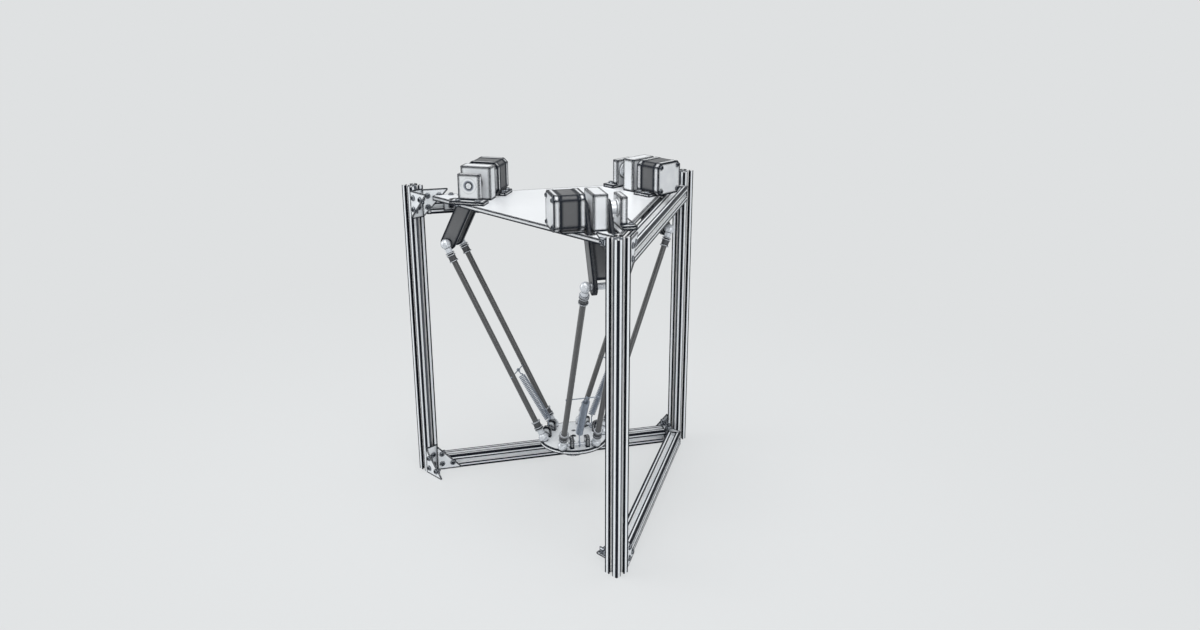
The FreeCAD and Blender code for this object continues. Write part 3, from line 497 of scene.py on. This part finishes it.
def milledFinish(name):
    look = milledLook
    finish = Finish(name)
    edged = fromShafts(finish).above(look["bore"])
    marks = finish.streaks(upright, *look["marks"])
    cloud = finish.clouds(*look["cloud"])
    color = finish.blend(marks.spread(*look["markRange"]), look["dull"], look["color"])
    color = finish.blend(cloud.spread(*look["dullRange"]), color, look["dull"])
    return finish.surface(look, finish.lined(color, edgeLook["block"], edged),
                          marks.spread(*look["rough"]), marks)


# ball bearings: blue-grey outer ring, darker shield, and black painted shade in the bore round
# the shaft
bearingLook = {
    "ring": tone(0.46, 0.49, 0.54), "shield": tone(0.26, 0.28, 0.32),
    "inner": tone(0.03, 0.033, 0.04), "shieldReach": 6.2 * mm, "innerReach": 5.0 * mm,
    "cloud": (120, 3), "stainRange": (0.35, 0.7, 0, 0.2), "fine": (1400, 2),
    "rough": (0.3, 0.7, 0.24, 0.38), "metal": 0.3, "bump": (0.06, 0.02 * mm),
}


def bearingFinish(name):
    look = bearingLook
    finish = Finish(name)
    radius = fromShafts(finish)
    fine = finish.clouds(*look["fine"])
    cloud = finish.clouds(*look["cloud"])
    color = finish.blend(radius.below(look["shieldReach"]), look["ring"], look["shield"])
    # painted shade: black in the bore round the shaft
    color = finish.blend(radius.below(look["innerReach"]), color, look["inner"])
    color = finish.blend(cloud.spread(*look["stainRange"]), color, look["shield"])
    return finish.surface(look, color, fine.spread(*look["rough"]), fine)


# upper arms: dark grey anodised plates, brushed along their length
armLook = {
    "color": tone(0.15, 0.152, 0.156), "rubbed": tone(0.215, 0.218, 0.222),
    "scratched": tone(0.34, 0.342, 0.346),
    "brush": (30 * mm, 0.15 * mm, 3), "brushRange": (0.3, 0.7, 0, 0.3),
    "cloud": (60, 4), "rubbedRange": (0.55, 0.8, 0, 0.3),
    "scratch": (14 * mm, 0.4 * mm, 1), "scratchWay": Vector((1, 0, 1)).normalized(),
    "scratchRange": (0.71, 0.74), "scratchShare": 0.5,
    "rough": (0.3, 0.7, 0.34, 0.48), "metal": 0.35, "bump": (0.15, 0.03 * mm),
}


def armFinish(name, direction):
    look = armLook
    finish = Finish(name)
    brush = finish.streaks(direction, *look["brush"])
    cloud = finish.clouds(*look["cloud"])
    scratch = finish.streaks(look["scratchWay"], *look["scratch"]).spread(*look["scratchRange"])
    color = finish.blend(brush.spread(*look["brushRange"]), look["color"], look["rubbed"])
    color = finish.blend(cloud.spread(*look["rubbedRange"]), color, look["rubbed"])
    color = finish.blend(scratch * look["scratchShare"], color, look["scratched"])
    return finish.surface(look, finish.lined(color, edgeLook["block"]),
                          brush.spread(*look["rough"]), brush - scratch)


# rods: carbon tube, its fibres along it and its wrapping in bands across it
carbonLook = {
    "color": tone(0.040, 0.0405, 0.0415), "fibre": tone(0.080, 0.081, 0.083),
    "fibres": (20 * mm, 0.22 * mm, 2), "fibreRange": (0.35, 0.7, 0, 0.6),
    "band": 2.2 * mm, "bandShare": 0.25, "bandHeight": 0.5,
    "rough": (0.3, 0.7, 0.30, 0.46), "coat": 0.5, "coatRough": 0.18, "shine": 0.5,
    "bump": (0.15, 0.04 * mm),
}


def carbonFinish(name, direction):
    look = carbonLook
    finish = Finish(name)
    fibres = finish.streaks(direction, *look["fibres"])
    bands = (finish.along(direction) / look["band"]).wave()
    pattern = fibres.spread(*look["fibreRange"]) + bands * look["bandShare"]
    color = finish.blend(pattern, look["color"], look["fibre"])
    return finish.surface(look, color, fibres.spread(*look["rough"]),
                          fibres + bands * look["bandHeight"])


# Rod ends: pale moulded seats with dark bands. The spans are measured along the rods, from the
# nearer ball.
rodEndLook = {
    "color": tone(0.70, 0.725, 0.76), "shade": tone(0.60, 0.625, 0.66),
    "dark": tone(0.085, 0.087, 0.092), "sleeveSpan": (16.6 * mm, 22.9 * mm),
    "grooveSpan": (13.4 * mm, 14.9 * mm), "rimSpan": (4.2 * mm, 5.6 * mm), "edge": 0.8 * mm,
    "cloud": (150, 3), "shadeRange": (0.35, 0.7), "grain": (1600, 2),
    "rough": (0.3, 0.7, 0.34, 0.46), "metal": 0.2, "bump": (0.1, 0.03 * mm),
}


def rodEndFinish(name, unit):
    look = rodEndLook
    finish = Finish(name)
    halfLength = (ballPlace[unit] - elbowPlace[unit]).length / 2
    station = finish.along(rodDirection[unit], elbowPlace[unit])
    fromBall = halfLength - abs(station - halfLength)
    dark = fromBall.between(*look["sleeveSpan"])
    dark = dark.larger(fromBall.between(*look["grooveSpan"]))
    dark = dark.larger(fromBall.between(*look["rimSpan"]))
    cloud = finish.clouds(*look["cloud"])
    grain = finish.clouds(*look["grain"])
    color = finish.blend(cloud.spread(*look["shadeRange"]), look["color"], look["shade"])
    color = finish.blend(dark, color, look["dark"])
    return finish.surface(look, finish.lined(color, look["edge"]),
                          grain.spread(*look["rough"]), grain)


def paint(node, material):
    mesh = frame["nodes"][node].data
    mesh.materials.clear()
    mesh.materials.append(material)


# the frame's sides stand at this angle to its open front
sideTurn = math.radians(60)


def beamDirection(side):
    way = 1 if side == "left" else -1
    return Vector((math.cos(sideTurn), way * math.sin(sideTurn), 0))


for name in unitNames:
    post = "post_" + name
    paint(post, profileFinish("post " + name, upright, rightward, post, postLook))
for level in ("upper", "lower"):
    for side in ("left", "right"):
        beam = level + "_beam_" + side
        paint(beam, profileFinish(level + " beam " + side, beamDirection(side), upright, beam,
                                  beamLook))
paint("corner_blocks", castFinish("corner blocks"))
sheetMetal = sheetFinish("gusset sheet")
for node in ("side_gussets", "front_gussets", "plate_brackets"):
    paint(node, sheetMetal)
paint("top_plate", plateFinish("top plate", rightward, "top_plate"))
paint("motor_feet", plateFinish("motor feet", rightward, "motor_feet"))
paint("effector_plate", turnedFinish("turned disc", "effector_plate"))
paint("tool_flange", turnedFinish("turned flange", "tool_flange"))
zinc = plainFinish("zinc hardware", zincLook)
for node in ("frame_screws", "frame_nuts", "unit_screws", "motor_screws", "effector_screws"):
    paint(node, zinc)
paint("motor_bells", plainFinish("motor bells", bellLook))
paint("shaft_bearings", bearingFinish("ball bearings"))
paint("ball_lugs", milledFinish("ball lugs"))
polished = plainFinish("polished balls", ballLook)
paint("lower_ball_shafts", polished)
wire = plainFinish("drawn wire", wireLook)
shaftSteel = plainFinish("ground shafts", shaftLook)
for name in unitNames:
    paint("motor_stator_" + name, laminationFinish("laminations " + name, unitAxis[name]))
    paint("bearing_block_" + name, milledFinish("bearing block " + name))
    paint("outboard_block_" + name, milledFinish("outboard block " + name))
    paint("drive_shaft_" + name, shaftSteel)
    paint("arm_plates_" + name, armFinish("arm " + name, armDirection[name]))
    paint("elbow_axle_" + name, polished)
    paint("rods_" + name, carbonFinish("carbon rods " + name, rodDirection[name]))
    paint("rod_ends_" + name, rodEndFinish("rod ends " + name, name))
    paint("spring_wire_" + name, wire)
print("finishes on the CAD nodes")


# Tension springs: one wire from eye to eye. The cross wire is "station" up the rods from the
# lower ball. The coil starts at "foot" above the lower shaft and ends at "head" below the
# cross wire, and "bend" is the height of the half turn at each of its ends. "wire", "coil" and
# both loops are radii, "loopGap" is the angle by which an eye stays open, and "tip" the share of
# the wire's radius by which its ends come to a point. "around" counts the points round the
# wire, and "perBend", "perTurn" and "perLoop" those along it.
springShape = {
    "wire": 0.75 * mm, "coil": 4.45 * mm, "turns": 30, "station": 94 * mm, "head": 9 * mm,
    "foot": 16 * mm, "bend": 3 * mm, "upperLoop": 1.8 * mm, "lowerLoop": 3.6 * mm,
    "loopGap": 0.3, "tip": 0.6, "around": 10, "perBend": 30, "perTurn": 20, "perLoop": 50,
    "smoothing": 3,
}


def springPath(shape, pin, span):
    # In the plane (across, along) that holds both pins, with the coil's foot at the origin:
    # a circle about the lower pin, a straight shank, half a turn whose radius grows smoothly to
    # the coil's, the coil as a helix, half a turn back to the axis, a shank, and a circle about
    # the upper pin. It gives the wire's centre and a direction to set each section by.
    start = -math.pi / 2
    toFoot = -pin / np.linalg.norm(pin)
    side = np.array([toFoot[1], -toFoot[0]])
    step = np.linspace(0, 1, shape["perBend"])[1:, None]

    def flat(places):
        centres = np.stack([places[:, 0], 0 * places[:, 0], places[:, 1]], 1)
        return centres, np.full(len(places), start)

    def circle(centre, radius, angles, first, second):
        angles = angles[:, None]
        return flat(centre + radius * (np.cos(angles) * first + np.sin(angles) * second))

    def turn(radii, angles, heights):
        return np.stack([radii * np.cos(angles), radii * np.sin(angles), heights], 1), angles

    low = pin + toFoot * shape["lowerLoop"]
    lowEnd = -toFoot * shape["bend"]
    top = span - shape["head"]
    highStart = np.array([0, top + shape["bend"]])
    high = np.array([0, span - shape["upperLoop"]])
    ease = (step * step * (3 - 2 * step))[:, 0]
    winding = np.linspace(0, 1, shape["turns"] * shape["perTurn"])[1:]
    first = start + math.pi
    last = first + 2 * math.pi * shape["turns"]
    eye = np.linspace(2 * math.pi - shape["loopGap"], 0, shape["perLoop"])
    growing = turn(shape["coil"] * ease, start + math.pi * step[:, 0], 0 * ease)
    growing[0][:, 0] += lowEnd[0] * (1 - ease)
    growing[0][:, 2] += lowEnd[1] * (1 - step[:, 0])
    pieces = [
        circle(pin, shape["lowerLoop"], eye, toFoot, side),
        flat(low + step * (lowEnd - low)),
        growing,
        turn(np.full(len(winding), shape["coil"]), first + (last - first) * winding,
             winding * top),
        turn(shape["coil"] * (1 - ease), last + math.pi * step[:, 0],
             top + step[:, 0] * shape["bend"]),
        flat(highStart + step * (high - highStart)),
        circle(np.array([0, span]), shape["upperLoop"], eye[::-1][1:], np.array([0, -1]),
               np.array([1, 0])),
    ]
    centres = np.concatenate([piece[0] for piece in pieces])
    angles = np.concatenate([piece[1] for piece in pieces])
    return centres, angles


def smoothed(centres, passes):
    # Each point becomes half itself and a quarter of both its neighbours. The ends stay.
    for _ in range(passes):
        middle = 0.25 * centres[:-2] + 0.5 * centres[1:-1] + 0.25 * centres[2:]
        centres = np.concatenate([centres[:1], middle, centres[-1:]])
    return centres


def tube(centres, guide, shape):
    # Round section carried along a path: centre + radius (cos a N + sin a B), where B is across
    # the path and the guide direction, and N completes the frame. Both ends close in a point.
    radius = shape["wire"]
    around = shape["around"]
    tangent = np.gradient(centres, axis=0)
    tangent /= np.linalg.norm(tangent, axis=1, keepdims=True)
    across = np.cross(tangent, guide)
    across /= np.linalg.norm(across, axis=1, keepdims=True)
    normal = np.cross(across, tangent)
    angle = np.linspace(0, 2 * math.pi, around, endpoint=False)
    ring = (np.cos(angle)[None, :, None] * normal[:, None, :]
            + np.sin(angle)[None, :, None] * across[:, None, :])
    points = (centres[:, None, :] + radius * ring).reshape(-1, 3)
    count = len(centres)
    row = np.arange(count - 1)[:, None] * around
    here = np.arange(around)[None, :]
    there = (here + 1) % around
    quads = np.stack([row + here, row + there, row + around + there, row + around + here], 2)
    tip = radius * shape["tip"]
    points = np.concatenate([points, centres[:1] - tangent[:1] * tip,
                             centres[-1:] + tangent[-1:] * tip])
    startPoint = count * around
    lastRow = (count - 1) * around
    here = here[0]
    there = there[0]
    startCap = np.stack([np.full(around, startPoint), there, here], 1)
    endCap = np.stack([np.full(around, startPoint + 1), lastRow + here, lastRow + there], 1)
    return points, quads.reshape(-1, 4).tolist() + startCap.tolist() + endCap.tolist()


def linked(name, data):
    made = bpy.data.objects.new(name, data)
    bpy.context.scene.collection.objects.link(made)
    return made


def makeMesh(name, points, faces, material):
    mesh = bpy.data.meshes.new(name)
    mesh.from_pydata(points.tolist(), [], faces)
    mesh.polygons.foreach_set("use_smooth", np.ones(len(mesh.polygons), dtype=bool))
    mesh.materials.append(material)
    mesh.update()
    return linked(name, mesh)


for name in unitNames:
    shape = springShape
    wirePlace = ballPlace[name] - rodDirection[name] * shape["station"]
    footPlace = ballPlace[name] + upright * shape["foot"]
    along = (wirePlace - footPlace).normalized()
    crosswise = unitAxis[name]
    across = crosswise.cross(along)
    pin = ballPlace[name] - footPlace
    centres, angles = springPath(shape, np.array([pin.dot(across), pin.dot(along)]),
                                 (wirePlace - footPlace).length)
    guide = np.stack([np.cos(angles), np.sin(angles), 0 * angles], 1)
    points, faces = tube(smoothed(centres, shape["smoothing"]), guide, shape)
    points = points @ np.array([across, crosswise, along]) + np.array(footPlace)
    coil = makeMesh("coil_spring_" + name, points, faces, wire)
    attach(coil, "rods_" + name)
    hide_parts("spring_" + name)
print("springs")


# Floor, light and camera. The floor is lit and so keeps the shadow, and it is mixed with a glow
# of the backdrop's colour, so that it has no visible end. "glow" spreads the distance from the
# middle, in metres, to the glow's share. The camera's place and its angles, in degrees, are
# those of the picture, and its focal length is in the picture's pixels.
studio = {
    "pale": tone(0.738, 0.753, 0.760), "ambient": tone(0.97, 0.985, 1.0),
    "ambientStrength": 0.62, "floorReach": 40.0, "glow": (0.25, 1.1, 0.72, 1.0),
    "lampAim": Vector((0, -0.05, 0.22)), "sensor": 36.0, "clipStart": 0.05,
    "focalPixels": 1027.76, "imageWidth": 1200,
    "cameraFromCentre": Vector((0.9235, -0.8716, 0.6950)), "heading": 45.01,
    "downward": 19.22,
}
# square soft lamps: place and size in metres, and power in watts
lamps = {
    "overhead": (Vector((0.1, -0.3, 2.2)), 1.8, 26),
    "left": (Vector((-1.6, -1.6, 1.2)), 1.4, 14),
    "right": (Vector((1.9, -0.5, 0.9)), 1.4, 9),
}

reach = studio["floorReach"]
floorMesh = bpy.data.meshes.new("floor")
floorMesh.from_pydata([(-reach, -reach, 0), (reach, -reach, 0), (reach, reach, 0),
                       (-reach, reach, 0)], [], [(0, 1, 2, 3)])
floor = linked("floor", floorMesh)
floorFinish = Finish("pale floor")
lit = floorFinish.node("ShaderNodeBsdfDiffuse", {}, {"Color": studio["pale"]})
glow = floorFinish.node("ShaderNodeEmission", {}, {"Color": studio["pale"], "Strength": 1.0})
distance = floorFinish.node("ShaderNodeVectorMath", {"operation": "LENGTH"},
                            {0: floorFinish.place}, "Value")
share = distance.spread(*studio["glow"])
seen = floorFinish.node("ShaderNodeMixShader", {}, {0: share, 1: lit, 2: glow})
cameraRay = floorFinish.node("ShaderNodeLightPath", {}, {}, "Is Camera Ray")
shown = floorFinish.node("ShaderNodeMixShader", {}, {0: cameraRay, 1: lit, 2: seen})
floorFinish.tree.links.new(shown.socket, floorFinish.output.inputs["Surface"])
floorMesh.materials.append(floorFinish.material)

world = bpy.data.worlds.new("studio")
bpy.context.scene.world = world
world.use_nodes = True
sky = world.node_tree
sky.nodes.clear()


def background(color, strength):
    made = sky.nodes.new("ShaderNodeBackground")
    made.inputs["Color"].default_value = color
    made.inputs["Strength"].default_value = strength
    return made


ambient = background(studio["ambient"], studio["ambientStrength"])
backdrop = background(studio["pale"], 1.0)
path = sky.nodes.new("ShaderNodeLightPath")
either = sky.nodes.new("ShaderNodeMath")
either.operation = "MAXIMUM"
skyMix = sky.nodes.new("ShaderNodeMixShader")
skyOut = sky.nodes.new("ShaderNodeOutputWorld")
sky.links.new(path.outputs["Is Camera Ray"], either.inputs[0])
sky.links.new(path.outputs["Is Glossy Ray"], either.inputs[1])
sky.links.new(either.outputs[0], skyMix.inputs[0])
sky.links.new(ambient.outputs[0], skyMix.inputs[1])
sky.links.new(backdrop.outputs[0], skyMix.inputs[2])
sky.links.new(skyMix.outputs[0], skyOut.inputs["Surface"])

for name, (place, size, power) in lamps.items():
    light = bpy.data.lights.new(name, "AREA")
    light.size = size
    light.energy = power
    lamp = linked(name, light)
    lamp.location = place
    lamp.rotation_euler = (studio["lampAim"] - place).to_track_quat("-Z", "Y").to_euler()

lens = bpy.data.cameras.new("camera")
lens.sensor_width = studio["sensor"]
lens.lens = studio["sensor"] * studio["focalPixels"] / studio["imageWidth"]
lens.clip_start = studio["clipStart"]
viewer = linked("camera", lens)
viewer.location = Vector((robotCentre.x, robotCentre.y, 0)) + studio["cameraFromCentre"]
viewer.rotation_euler = (math.radians(90 - studio["downward"]), 0,
                         math.radians(studio["heading"]))
bpy.context.scene.camera = viewer
bpy.context.scene.view_settings.view_transform = "Standard"
print("stage, light and camera")
